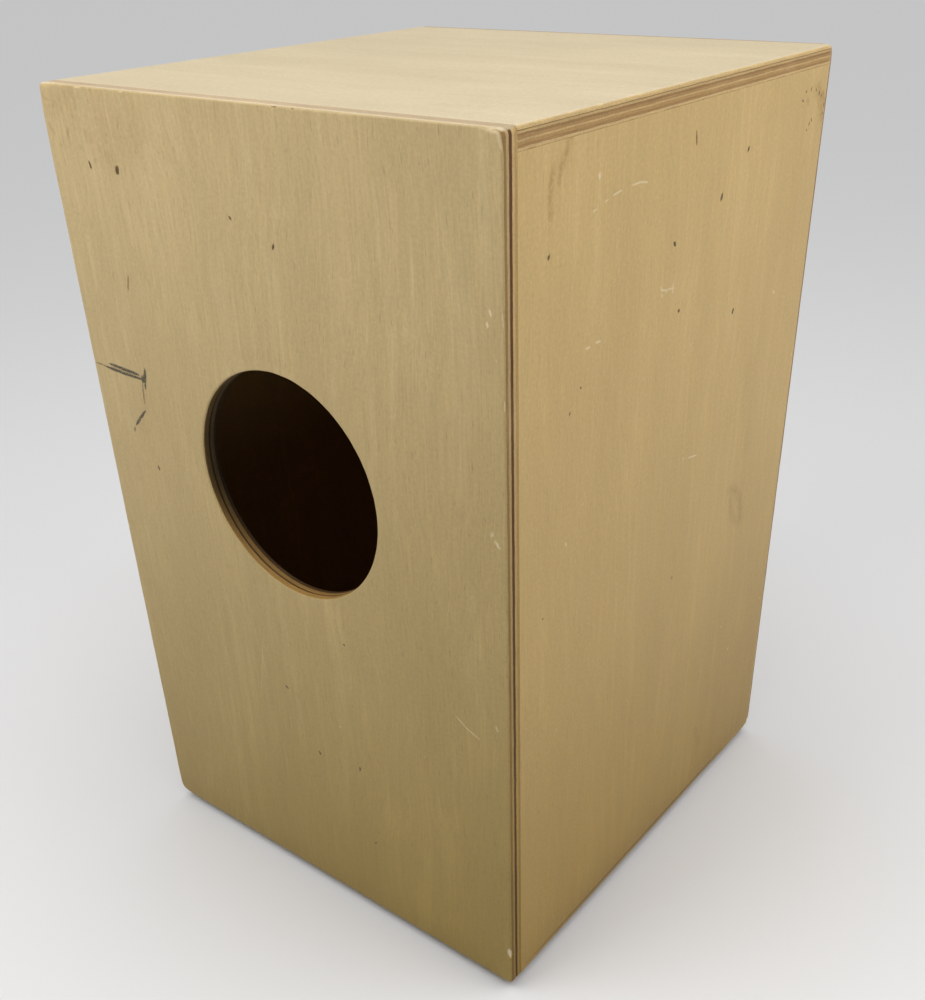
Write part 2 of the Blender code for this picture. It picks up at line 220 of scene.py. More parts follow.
def mark_strength(places, kind, width, path):
    """How strongly a mark shows at each place, from 0 to 1."""
    nearest, share = beside_path(places, path)
    close = nearest < 2.5 * width
    strength = np.zeros(len(places))
    ragged = np.array([0.7 + 0.6 * rough(p, 900) for p in places[close]])
    if kind == "smudge":
        strength[close] = np.exp(-(nearest[close] / (0.6 * width)) ** 2)
        return strength
    taper = np.sqrt(np.clip(5 * share[close] * (1.04 - share[close]), 0.12, 1))
    if len(path) == 2 and norm(path[1] - path[0]) < 1.2 * width:
        taper = 1.0
    reach = nearest[close] / (0.5 * width * taper * ragged)
    strength[close] = np.clip(1.6 - 0.95 * reach, 0, 1)
    return strength


def face_points(rim, outwards, shape, eased, hole, marks, paths):
    """Points over a panel's face, and the loops of its outline and its hole.

    There are rows along the edges and around the hole (centre, radius), points close enough to
    carry each mark, and an even field between them. shape is (half_u, half_v, corners).
    """
    points = [rim]
    for row in EDGE_ROWS:
        moved = rim - outwards * row * MM
        gap = edge_distance(moved, *shape, eased)
        points.append(moved[np.abs(gap - row * MM) < 0.02 * MM])
    loops = [list(range(len(rim)))]
    margin = EDGE_ROWS[-1] * MM + FIELD_MARGIN
    us = np.arange(-shape[0] + margin, shape[0] - margin, FIELD_STEP)
    vs = np.arange(-shape[1] + margin, shape[1] - margin, FIELD_STEP)
    field = np.array([(u + (j % 2) * FIELD_STEP / 2, v) for j, v in enumerate(vs) for u in us])
    if hole is not None:
        centre, radius = hole
        angles = np.linspace(0, tau, HOLE_SEGMENTS, endpoint=False)
        ring = np.c_[np.cos(angles), np.sin(angles)]
        first = sum(len(p) for p in points)
        loops.append(list(range(first, first + HOLE_SEGMENTS)))
        points.append(centre + radius * ring)
        for row in HOLE_ROWS:
            points.append(centre + (radius + row * MM) * ring)
        points.append(centre + (radius + 5 * MM) * ring[::3])
        field = field[norm(field - centre, axis=1) > radius + 10 * MM]
    for mark, path in zip(marks, paths):
        extra = mark_points(path, mark[1] * MM)
        inside = edge_distance(extra, *shape, SIDES) > MARK_MARGIN
        if hole is not None:
            inside &= norm(extra - centre, axis=1) > radius + MARK_MARGIN
        points.append(extra[inside])
    points.append(field)
    return np.concatenate(points), loops


def walls(coords, depth, loops, hole_centre, thickness, rows, plies):
    """The walls down from each loop, with grooves along some plies.

    Returns the rows of points, the faces and each wall's last loop.
    """
    blocks, faces, ends = [], [], []
    count = len(coords)
    for number, loop in enumerate(loops):
        around = coords[loop]
        if number == 0:
            inward = np.roll(around, -1, axis=0) - np.roll(around, 1, axis=0)
            inward = np.c_[-inward[:, 1], inward[:, 0]]
        else:
            inward = around - hole_centre
        inward /= np.maximum(norm(inward, axis=1), 1e-9)[:, None]
        above = list(loop)
        for row in range(1, rows + 1):
            level = depth[loop] + (thickness - depth[loop]) * row / rows
            pull = np.zeros(len(loop))
            for at, width, cut in plies if row < rows else ():
                groove = np.exp(-((level / MM - at) / width) ** 2)
                broken = np.array([rough((*p, 0), 60, at) for p in around])
                pull += cut * MM * groove * np.clip(2.4 * broken - 0.7, 0, 1)
            blocks.append(np.c_[around + inward * pull[:, None], level])
            below = list(range(count, count + len(loop)))
            count += len(loop)
            for i in range(len(loop)):
                j = (i + 1) % len(loop)
                faces.append([above[i], below[i], below[j], above[j]])
            above = below
        ends.append(above)
    return blocks, faces, ends


def marked_mesh(name, places, faces, marks, paths):
    """A mesh that stores how strongly each kind of mark shows, with the marks pressed into it."""
    mesh = bpy.data.meshes.new(name)
    mesh.from_pydata([tuple(p) for p in places], [], faces)
    shown = {kind: np.zeros(len(places)) for kind in MARK_KINDS}
    cut = np.zeros(len(places))
    for (kind, width, deep, strength, _), path in zip(marks, paths):
        amount = mark_strength(places, kind, width * MM, path)
        shown[kind] = np.maximum(shown[kind], strength * amount)
        cut = np.maximum(cut, deep * MM * amount)
    for kind, values in shown.items():
        mesh.attributes.new(kind, "FLOAT", "POINT").data.foreach_set("value", values)
    bm = bmesh.new()
    bm.from_mesh(mesh)
    bmesh.ops.recalc_face_normals(bm, faces=bm.faces)
    bm.normal_update()
    for vertex, amount in zip(bm.verts, cut):
        if amount > 0:
            vertex.co -= vertex.normal * float(amount)
    loose = [vertex for vertex in bm.verts if not vertex.link_faces]
    bmesh.ops.delete(bm, geom=loose, context="VERTS")
    bm.to_mesh(mesh)
    bm.free()
    return mesh


def wood_panel(node, across, up, eased, corners, radius, material, hole=None, knocks=(), marks=(),
               wall_rows=10, plies=()):
    """A ply panel with worn edges, in the place of a CAD node.

    across and up span its outer face and their cross product looks outwards. eased names the
    sides whose edge is rounded, and the others reach to the panel they are glued to. corners are
    the outline's four radii, and knocks the box corners that a blow has rounded more, as
    (place, radius, reach). marks are (kind, width, depth, strength, path), with the path in the
    face's own two axes, and plies are grooves in the edge, as (depth, width, cut). All in
    millimetres. hole is (centre, radius, the way its rim is worn most).
    """
    axes = np.array([across, up, across.cross(up)])
    ends = np.array(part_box(node)) @ axes.T
    lowest, highest = ends.min(0), ends.max(0)
    for side in SIDES:
        if side not in eased:
            edge = highest if side[1] == "+" else lowest
            edge["uv".index(side[0])] += GLUED if side[1] == "+" else -GLUED
    middle = (lowest + highest) / 2
    half_u, half_v, thickness = (highest - lowest) * (0.5, 0.5, 1.0)
    shape = (half_u, half_v, [c * MM for c in corners])

    def world(uvw):
        return np.c_[uvw[:, :2] + middle[:2], highest[2] - uvw[:, 2]] @ axes

    def flat(places):
        return (np.array(places) @ axes.T)[:, :2] - middle[:2]

    def easing(points):
        places = world(np.c_[points, np.zeros(len(points))])
        radii = np.array([radius * MM * (0.6 + 0.8 * rough(p, 60, radius)) for p in places])
        for place, knock, reach in knocks:
            near = norm(places - np.array(place), axis=1) / (reach * MM)
            radii += np.maximum(knock * MM - radii, 0) * np.exp(-near ** 2)
        return np.minimum(radii, 0.85 * thickness)

    plane = [i for i in range(3) if abs(axes[2][i]) < 0.5]
    paths = []
    for mark in marks:
        places = np.tile(axes[2] * highest[2], (len(mark[4]), 1))
        places[:, plane] = np.array(mark[4]) * MM
        paths.append(places)

    hole_place, hole_centre = None, None
    if hole is not None:
        hole_centre = flat([hole[0]])[0]
        hole_place = (hole_centre, hole[1])
    points, loops = face_points(*outline(*shape), shape, eased, hole_place, marks,
                                [flat(path) for path in paths])
    coords, faces, loops = triangles(points, loops, hole_place)
    depth = rounding(edge_distance(coords, *shape, eased), easing(coords))
    if hole is not None:
        beyond = norm(coords - hole_centre, axis=1) - hole[1]
        toward = (coords - hole_centre) @ (axes[:2] @ np.array(hole[2])) / (beyond + hole[1])
        radii = np.array([0.45 + 0.6 * rough((*c, 0), 160) for c in coords])
        radii = (radii + 1.1 * np.clip(toward, 0, 1) ** 2) * MM
        depth = np.maximum(depth, rounding(np.maximum(beyond, 0), radii))
    blocks, wall_faces, ends = walls(coords, depth, loops, hole_centre, thickness, wall_rows, plies)

    lowest_rows = [block[:, :2] for block in blocks[wall_rows - 1::wall_rows]]
    first = np.cumsum([0] + [len(row) for row in lowest_rows])
    back_loops = [list(range(a, b)) for a, b in pairwise(first)]
    _, back_faces, back_loops = triangles(np.concatenate(lowest_rows), back_loops, hole_place)
    welded = {}
    for new, old in zip(back_loops, ends):
        welded.update(zip(new, old))
    faces += wall_faces + [[welded[i] for i in reversed(face)] for face in back_faces]
    places = world(np.concatenate([np.c_[coords, depth]] + blocks))
    mesh = marked_mesh(node + "_wood", places, faces, marks, paths)
    return finished(mesh, node + "_wood", material, "box", [node], 50)


def mesh_of(bm, name):
    mesh = bpy.data.meshes.new(name)
    bm.to_mesh(mesh)
    bm.free()
    return mesh


def turned_mesh(bm, name):
    bmesh.ops.remove_doubles(bm, verts=bm.verts, dist=WELD)
    bmesh.ops.recalc_face_normals(bm, faces=bm.faces)
    return mesh_of(bm, name)


def placed(name, data):
    thing = bpy.data.objects.new(name, data)
    bpy.context.scene.collection.objects.link(thing)
    return thing


def finished(mesh, name, material, body, replaced, corner=35):
    """Shade a mesh, put it in the scene, attach it to its body and hide the CAD nodes it replaces."""
    mesh.shade_smooth()
    mesh.set_sharp_from_angle(angle=radians(corner))
    if not mesh.materials:
        mesh.materials.append(material)
    piece = placed(name, mesh)
    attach(piece, body)
    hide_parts(*replaced)
    return piece


# Materials

DIRT = (0.61, 0.5, 0.37)
STAIN = (0.125, 0.066, 0.02)
LEAD = (0.075, 0.06, 0.03)
RAW_WOOD = (0.96, 0.82, 0.56)
IN_SHADE = (0.27, 0.29, 0.31)
PLY_BLUR = 0.1


class Graph:
    """A material's nodes, made one call at a time."""

    def __init__(self, name):
        self.material = bpy.data.materials.new(name)
        self.material.use_nodes = True
        self.tree = self.material.node_tree
        self.shader = self.tree.nodes["Principled BSDF"]
        self.place = self.node("ShaderNodeTexCoord", output="Object")

    def put(self, socket, value):
        if isinstance(value, bpy.types.NodeSocket):
            self.tree.links.new(value, socket)
        elif isinstance(value, tuple):
            socket.default_value = (*value, 1)[:len(socket.default_value)]
        else:
            socket.default_value = value

    def node(self, kind, inputs=(), output=0, **settings):
        made = self.tree.nodes.new(kind)
        for name, value in settings.items():
            setattr(made, name, value)
        for key, value in dict(inputs).items():
            self.put(made.inputs[key], value)
        return made.outputs[output]

    def normal(self):
        return self.node("ShaderNodeTexCoord", output="Normal")

    def attribute(self, name):
        return self.node("ShaderNodeAttribute", output="Fac", attribute_name=name)

    def axis(self, vector, name):
        return self.node("ShaderNodeSeparateXYZ", {0: vector}, name)

    def math(self, operation, first, second=0, third=0):
        return self.node("ShaderNodeMath", {0: first, 1: second, 2: third}, operation=operation)

    def linear(self, value, factor, added):
        return self.math("MULTIPLY_ADD", value, factor, added)

    def plus(self, value, source, amount):
        """value, plus amount times how far a noise is from its middle."""
        return self.linear(self.math("SUBTRACT", source, 0.5), amount, value)

    def vector(self, operation, first, second, output="Vector"):
        return self.node("ShaderNodeVectorMath", {0: first, 1: second}, output, operation=operation)

    def noise(self, scale, detail=2, roughness=0.5, distortion=0, at=None):
        return self.node("ShaderNodeTexNoise", {"Vector": self.place if at is None else at,
                                                "Scale": scale, "Detail": detail,
                                                "Roughness": roughness, "Distortion": distortion})

    def ease(self, value, low, high, start=0, end=1):
        return self.node("ShaderNodeMapRange", {0: value, 1: low, 2: high, 3: start, 4: end},
                         interpolation_type="SMOOTHSTEP", clamp=True)

    def mix(self, factor, first, second, blend="MIX"):
        return self.node("ShaderNodeMix", {0: factor, 6: first, 7: second}, 2, data_type="RGBA",
                         blend_type=blend)

    def shade(self, colour, value):
        """A colour multiplied by a grey value."""
        grey = self.node("ShaderNodeCombineColor", {0: value, 1: value, 2: value})
        return self.mix(1, colour, grey, "MULTIPLY")

    def ramp(self, factor, stops):
        made = self.tree.nodes.new("ShaderNodeValToRGB")
        elements = made.color_ramp.elements
        while len(elements) < len(stops):
            elements.new(1)
        for element, (position, colour) in zip(elements, stops):
            element.position = position
            element.color = (*colour, 1)
        self.put(made.inputs[0], factor)
        return made.outputs[0]

    def finish(self, colour, roughness, bump=None, bump_depth=0.0001, metallic=0, specular=0.5):
        inputs = {"Base Color": colour, "Roughness": roughness, "Metallic": metallic,
                  "Specular IOR Level": specular}
        if bump is not None:
            inputs["Normal"] = self.node("ShaderNodeBump", {"Height": bump, "Distance": bump_depth,
                                                            "Strength": 1})
        for name, value in inputs.items():
            self.put(self.shader.inputs[name], value)
        return self.material


def times(colour, factors):
    return tuple(c * f for c, f in zip(colour, factors))


def stretched(grain, across, along):
    """Noise frequencies, per metre, for each axis: along the grain and across it."""
    return tuple(along if abs(grain[i]) > 0.5 else across for i in range(3))


def face_grain(graph, grain, wood, strength=1):
    """Quiet veneer: wavy pale and deep bands, streaks, fine fibres, short pores and clouds."""
    def figure(at, across, along, *noise):
        at = graph.vector("MULTIPLY", at, stretched(grain, across, along))
        return graph.noise(1, *noise, at=at)

    sway = figure(graph.place, 11, 6, 2, 0.5)
    shift = graph.math("MULTIPLY", sway, 0.03)
    offset = graph.node("ShaderNodeCombineXYZ", {0: shift, 1: shift, 2: shift})
    wavy = graph.vector("ADD", graph.place, offset)
    broad = figure(wavy, 34, 2.2, 2, 0.5)
    bands = figure(wavy, 150, 6.5, 3, 0.6)
    streaks = figure(wavy, 330, 15, 3, 0.6)
    fibres = figure(wavy, 1100, 35, 2, 0.6)
    pores = figure(wavy, 1250, 110, 1, 0.5)
    cloud = figure(graph.place, 14, 6, 3, 0.6, 0.2)
    mottle = graph.noise(520, 3, 0.65)
    pore = graph.ease(pores, 0.66, 0.76)
    ridge = graph.ease(graph.plus(bands, cloud, 0.35), 0.5, 0.7)
    thin = graph.math("MULTIPLY", graph.ease(streaks, 0.48, 0.74), graph.ease(cloud, 0.4, 0.6))
    pale, deep = times(wood, PALE), times(wood, DEEP)
    base = graph.mix(graph.plus(graph.plus(0.45, broad, 0.8), cloud, 0.6), deep, pale)
    ridged = graph.math("MULTIPLY", ridge, 0.6 * strength)
    base = graph.mix(ridged, base, times(pale, (1, 1.01, 1.03)))
    value = graph.linear(ridge, 0.026 * strength, 0.985)
    value = graph.linear(thin, 0.05 * strength, value)
    value = graph.plus(value, broad, 0.1)
    value = graph.plus(value, fibres, 0.15 * strength)
    value = graph.plus(value, mottle, 0.34)
    value = graph.plus(value, cloud, 0.14)
    value = graph.linear(pore, -0.09 * strength, value)
    height = graph.linear(pore, -0.6, fibres)
    gloss = graph.plus(0.46, streaks, 0.16)
    return graph.shade(base, value), height, gloss


def worn(graph, colour):
    """Lay a panel's marks over its colour: dirt, knots, pencil and bare chipped wood."""
    grit = graph.noise(1500, 2, 0.6)
    coarse = graph.noise(420, 3, 0.6)

    def broken(kind, texture, *levels):
        return graph.math("MULTIPLY", graph.attribute(kind), graph.ease(texture, *levels))

    smudge = broken("smudge", coarse, 0.15, 0.75)
    colour = graph.mix(smudge, colour, graph.mix(1, colour, DIRT, "MULTIPLY"))
    dark = graph.ease(broken("dark", coarse, 0.25, 0.5, 0.55), 0.05, 0.62)
    colour = graph.mix(dark, colour, STAIN)
    pencil = graph.ease(broken("pencil", grit, 0.34, 0.56, 0.45), 0.05, 0.75)
    colour = graph.mix(pencil, colour, LEAD)
    bare = graph.ease(broken("bare", grit, 0.28, 0.5, 0.5), 0.05, 0.8)
    return graph.mix(bare, colour, graph.mix(0.55, colour, RAW_WOOD))


def ply_stops(layers):
    """Colour-ramp stops of a stack of plies, each (depth of its end, colour)."""
    thickness = layers[-1][0]
    stops = [(0, layers[0][1])]
    for (end, colour), (_, following) in pairwise(layers):
        stops.append(((end - PLY_BLUR) / thickness, colour))
        stops.append(((end + PLY_BLUR) / thickness, following))
    return stops


def hole_wall(graph, plies, share, hole):
    """The plies' colours, or the hole's own near its wall, with painted shade over all but its lower
    part.
    """
    centre, radius = hole[:2]
    beside = graph.vector("MULTIPLY", graph.vector("SUBTRACT", graph.place, centre), (1, 0, 1))
    distance = graph.vector("DISTANCE", beside, (0, 0, 0), "Value")
    wall = graph.ramp(share, ply_stops(HOLE_PLIES_AND_SHADE))
    # Painted shade: above its lower part, the hole's wall is multiplied by the grey-blue shade tint.
    height = graph.ease(graph.axis(beside, "Z"), -radius, -0.1 * radius)
    wall = graph.mix(height, wall, graph.mix(1, wall, IN_SHADE, "MULTIPLY"))
    return graph.mix(graph.ease(distance, radius + 3 * MM, radius + 5 * MM), wall, plies)


def ply_material(name, out, plane, layers, wood, grain, seen_from_above=None, base_shade=None,
                 hole=None, strength=1, face_ply=0.8, inside_shade=(0.7, 0.6, 0.5)):
    """Solid plywood: the face veneer, and the plies under it wherever an edge cuts them.

    out is the outward axis and plane the outer face's place on it. layers are (end depth in
    millimetres, colour) from the face inwards, and the veneer on the face is face_ply thick.
    base_shade (tint, direction, from, to) is painted shade: a tint that darkens the panel towards its
    base.
    """
    graph = Graph(name)
    index = max(range(3), key=lambda i: abs(out[i]))
    sign = 1 if out[index] > 0 else -1
    depth = graph.linear(graph.axis(graph.place, "XYZ"[index]), -sign / MM, sign * plane / MM)
    wavy = graph.plus(depth, graph.noise(110, 4, 0.65), 0.8)
    face, height, gloss = face_grain(graph, grain, wood, strength)

    share = graph.math("DIVIDE", wavy, layers[-1][0])
    plies = graph.ramp(share, ply_stops(layers))
    if seen_from_above is not None:
        level = graph.ramp(share, ply_stops(seen_from_above))
        rise = graph.ease(graph.axis(graph.normal(), "Z"), 0.55, 0.8)
        near_top = graph.ease(graph.axis(graph.place, "Z"), 0.47, 0.478)
        plies = graph.mix(graph.math("MULTIPLY", rise, near_top), plies, level)
    if hole is not None:
        plies = hole_wall(graph, plies, share, hole)
    fading = graph.noise(22, 3, 0.6)
    pale = graph.mix(1, plies, (0.3, 0.22, 0.14), "ADD")
    plies = graph.mix(graph.ease(fading, 0.5, 0.75, 0, 0.22), plies, pale)
    edge_scale = tuple(2600 if i == index else 60 for i in range(3))
    lines = graph.noise(1, 3, 0.6, at=graph.vector("MULTIPLY", graph.place, edge_scale))
    specks = graph.noise(800, 2, 0.6)
    value = graph.plus(graph.plus(1, lines, 0.85), specks, 0.5)
    plies = graph.shade(plies, value)

    skin = graph.mix(graph.ease(depth, 0.15, 0.5), face, graph.shade(layers[0][1], value))
    colour = graph.mix(graph.ease(wavy, face_ply - 0.12, face_ply + 0.12), skin, plies)
    # Painted shade: the colour is darkened towards the panel's base, standing in for light falling off
    # lower down.
    if base_shade is not None:
        shade_tint, slope, low, high = base_shade
        fade = graph.ease(graph.vector("DOT_PRODUCT", graph.place, slope, "Value"), low, high, 1, 0)
        colour = graph.mix(fade, colour, graph.mix(1, colour, shade_tint, "MULTIPLY"))
    colour = worn(graph, colour)
    # Painted shade: faces that look into the box are darkened to the face grain times a brown tint.
    facing = graph.axis(graph.normal(), "XYZ"[index])
    behind = graph.ease(graph.math("MULTIPLY", facing, -sign), 0.6, 0.9)
    colour = graph.mix(behind, colour, graph.mix(1, face, inside_shade, "MULTIPLY"))
    roughness = graph.math("ADD", gloss, graph.ease(depth, 0.1, 0.8, 0, 0.28))
    bump = graph.linear(lines, graph.ease(depth, 0.3, 1), height)
    return graph.finish(colour, roughness, bump, 0.0001, specular=0.4)


def plain_wood(name, grain, wood):
    graph = Graph(name)
    colour, height, gloss = face_grain(graph, grain, wood, 2)
    return graph.finish(colour, graph.math("ADD", gloss, 0.15), height, 0.0002)


def zinc():
    graph = Graph("zinc_plate")
    cloud = graph.noise(900, 3, 0.6)
    colour = graph.mix(cloud, (0.42, 0.41, 0.38), (0.66, 0.65, 0.62))
    roughness = graph.linear(graph.noise(3500, 2), 0.25, 0.25)
    return graph.finish(colour, roughness, cloud, 0.00003, metallic=1)


def rubber():
    graph = Graph("matt_rubber")
    dust = graph.noise(160, 4, 0.65)
    colour = graph.mix(graph.ease(dust, 0.45, 0.75), (0.018, 0.018, 0.018), (0.07, 0.066, 0.06))
    grit = graph.noise(4200, 2)
    return graph.finish(colour, graph.linear(dust, 0.2, 0.65), grit, 0.00005)


def nylon():
    graph = Graph("black_nylon")
    spark = graph.noise(5200, 1)
    colour = graph.mix(graph.noise(120, 3), (0.022, 0.022, 0.024), (0.045, 0.045, 0.046))
    return graph.finish(colour, graph.linear(spark, 0.2, 0.38), spark, 0.00004)


def spring_steel():
    graph = Graph("spring_steel")
    cloud = graph.noise(700, 2)
    colour = graph.mix(cloud, (0.52, 0.52, 0.5), (0.74, 0.74, 0.72))
    return graph.finish(colour, graph.linear(cloud, 0.2, 0.18), None, metallic=1)


# Woods, and the tints of their pale and deep bands

REAR = (0.59, 0.438, 0.215)
SIDE = (0.654, 0.453, 0.183)
TOP = (0.74, 0.62, 0.41)
FRONT = (0.62, 0.45, 0.23)
PINE = (0.64, 0.46, 0.24)
PALE = (1.005, 1.01, 1.02)
DEEP = (0.985, 0.98, 0.965)


def stack(wood, *plies):
    """Plies from the face inwards: each (depth of its end, three tints of the wood)."""
    return [(ply[0], times(wood, ply[1:])) for ply in plies]


REAR_LAYERS = stack(
    SIDE, (0.8, 0.88, 0.92, 1.05), (2.6, 0.52, 0.45, 0.4), (4.3, 0.83, 0.82, 0.95),
    (6.3, 0.2, 0.12, 0.06), (8, 0.98, 0.96, 1.1), (10, 0.8, 0.75, 0.68))
# The plies seen on the hole's wall. The last ply, from 7.8 to 10 mm, is painted near black as shade
# from inside the box.
HOLE_PLIES_AND_SHADE = stack(
    SIDE, (0.8, 1.1, 1.02, 0.92), (4, 0.84, 0.7, 0.56), (5.2, 0.2, 0.15, 0.1), (7.8, 0.62, 0.51, 0.4),
    (10, 0.14, 0.1, 0.07))
REAR_ABOVE = stack(
    TOP, (0.5, 0.84, 0.82, 0.78), (3.6, 0.92, 0.9, 0.88), (10, 0.72, 0.65, 0.62))
TOP_LAYERS = stack(
    SIDE, (1.6, 1.02, 1.03, 1.12), (2.3, 0.34, 0.26, 0.21), (3.3, 0.86, 0.84, 0.9),
    (4.3, 0.52, 0.43, 0.4), (5.5, 0.66, 0.57, 0.53), (6.2, 0.92, 0.9, 0.97), (7.4, 0.72, 0.63, 0.58),
    (8.6, 0.6, 0.51, 0.46), (9.7, 0.98, 0.98, 1.1), (10, 0.66, 0.58, 0.5))
SIDE_LAYERS = stack(
    SIDE, (0.9, 1, 1, 1.1), (2.6, 0.52, 0.45, 0.4), (4.3, 0.9, 0.9, 1), (6, 0.45, 0.38, 0.33),
    (8, 0.98, 0.96, 1.1), (10, 0.8, 0.75, 0.68))
TAPA_LAYERS = stack(
    FRONT, (0.7, 1, 1.02, 1.1), (2.2, 0.5, 0.42, 0.36), (3, 0.9, 0.9, 1))


# Marks: (kind, width, depth, strength, path), in millimetres on the face's own axes.

def strokes(*rows):
    """Marks along paths: a kind, then its rows of (width, depth, strength, point, point ...)."""
    marks = []
    for row in rows:
        if isinstance(row, str):
            kind = row
        else:
            marks.append((kind, *row[:3], row[3:]))
    return marks


def dots(kind, width, deep, strength, *places):
    """Small marks, each with its own short slanted path."""
    marks = []
    for number, (a, b) in enumerate(places):
        turn = 2.4 * number
        du, dv = 0.6 * width * np.array([cos(turn), 1 + sin(turn)])
        marks.append((kind, width, deep, strength, ((a - du, b - dv), (a + du, b + dv))))
    return marks


REAR_MARKS = strokes(
    "pencil", (1.6, 0.05, 1, (135.4, 335.8), (122, 335), (108.9, 334.4)),
    (1.5, 0.05, 1, (140.6, 333.4), (122, 332.4), (106.1, 332.2)),
    (3.4, 0, 0.26, (134, 334.6), (120, 333.7), (107.5, 333.3)),
    (1.1, 0, 0.56, (148.3, 334), (140.9, 333.7)),
    (1.8, 0.05, 1, (102.1, 339.4), (103.3, 334.3), (104.6, 331.8)),
    (3.4, 0, 1, (104.4, 333.2), (105.4, 332.2)), (1.4, 0, 0.9, (104, 332.6), (104.7, 326.7)),
    (1.3, 0, 0.5, (106.3, 331.4), (107.4, 325), (108.4, 316.8)),
    (1.5, 0.05, 0.95, (108.6, 312.7), (114.9, 306.9), (120.5, 301)),
    "dark", (1.3, 0, 0.55, (122.2, 299.4), (123, 296.5)),
    (1.3, 0.1, 0.8, (116.5, 445.3), (117.5, 448.9)), (2.1, 0.2, 0.95, (94.8, 446), (94.4, 447.6)),
    (0.9, 0, 0.5, (101.6, 392.2), (104.1, 383.6)),
    "bare", (0.34, 0.05, 0.36, (31.8, 191.8), (36.4, 170), (43.6, 134.8)),
    (0.68, 0.08, 0.54, (-114.9, 192.3), (-122, 187), (-131.3, 183.2)),
    (1.09, 0.2, 0.68, (-142.2, 414.8), (-143.2, 411.6)),
    (1.22, 0.2, 0.68, (-140.9, 409.2), (-141.3, 406.6)),
    (1, 0.3, 0.4, (-148.8, 414.5), (-149.6, 406.9)), (1.5, 0.2, 0.65, (-143.9, 305.4), (-145.2, 303)),
    (0.82, 0.3, 0.61, (-149.6, 376), (-149.7, 371)), (2.8, 0.8, 0.95, (-148.6, 35.5), (-149.4, 29.5)),
    (1.7, 0.2, 0.45, (-141.5, 484.8), (-147.6, 483.9), (-149.6, 477.5)),
    (1.09, 0.5, 0.58, (118.4, 484.9), (114, 484.9)), (0.95, 0.4, 0.58, (82.5, 484.9), (79.5, 484.9)),
    "dark", (1.2, 0.4, 0.6, (-24, 484.9), (-27.5, 484.9)),
    (1, 0.4, 0.6, (-36.6, 484.9), (-38.6, 484.9)),
    "smudge", (26, 0, 0.3, (118, 478), (92, 466), (78, 470)), (14, 0, 0.36, (100, 452), (112, 462)),
    (10, 0, 0.34, (142, 474), (128, 478)), (9, 0, 0.22, (104, 322), (114, 300)),
    (20, 0, 0.2, (-146, 20), (-146, 90)), (16, 0, 0.2, (140, 15), (60, 11), (-60, 11), (-140, 12)))
REAR_MARKS += dots(
    "dark", 1.2, 0.05, 0.75, (12.2, 432.8), (-15.6, 422.9), (-36.2, 206.1), (-5.3, 113.9),
    (-46.7, 62.4), (17.2, 154.5), (-39.1, 117.9))
REAR_MARKS += strokes("dark", (1.9, 0.05, 0.6, (105.8, 275.6), (106.2, 278.4)))
REAR_MARKS += dots(
    "smudge", 2.2, 0, 0.5, (146, 478), (141, 472), (138, 481), (133, 474), (128, 479), (124, 470),
    (119, 477), (113, 473), (108, 478), (131, 462), (122, 455), (116, 462), (111, 450), (104, 455),
    (99, 462), (139, 455), (145, 463), (88, 468))
REAR_MARKS += dots(
    "bare", 0.77, 0.12, 0.44, (-75.7, 397.5), (-112.9, 383.3), (-91.8, 152.7), (-145.6, 393),
    (-87.5, 226.8), (-25.7, 143.5))
for i in range(11):
    REAR_MARKS += strokes("smudge", (
        0.7, 0, 0.55 - 0.04 * abs(i - 5),
        (17 - 3.9 * i + 0.9 * sin(5 * i), 361.5 + 0.3 * i * (9 - i) / 2),
        (16.2 - 3.9 * i, 366.5 + 0.25 * i * (9 - i) / 2 + 2.5 * sin(3 * i))))
REAR_MARKS += dots(
    "bare", 1.6, 0.06, 0.42, (-144, 305), (-141.7, 308.5), (-145.7, 302.9), (-142.6, 195.3))

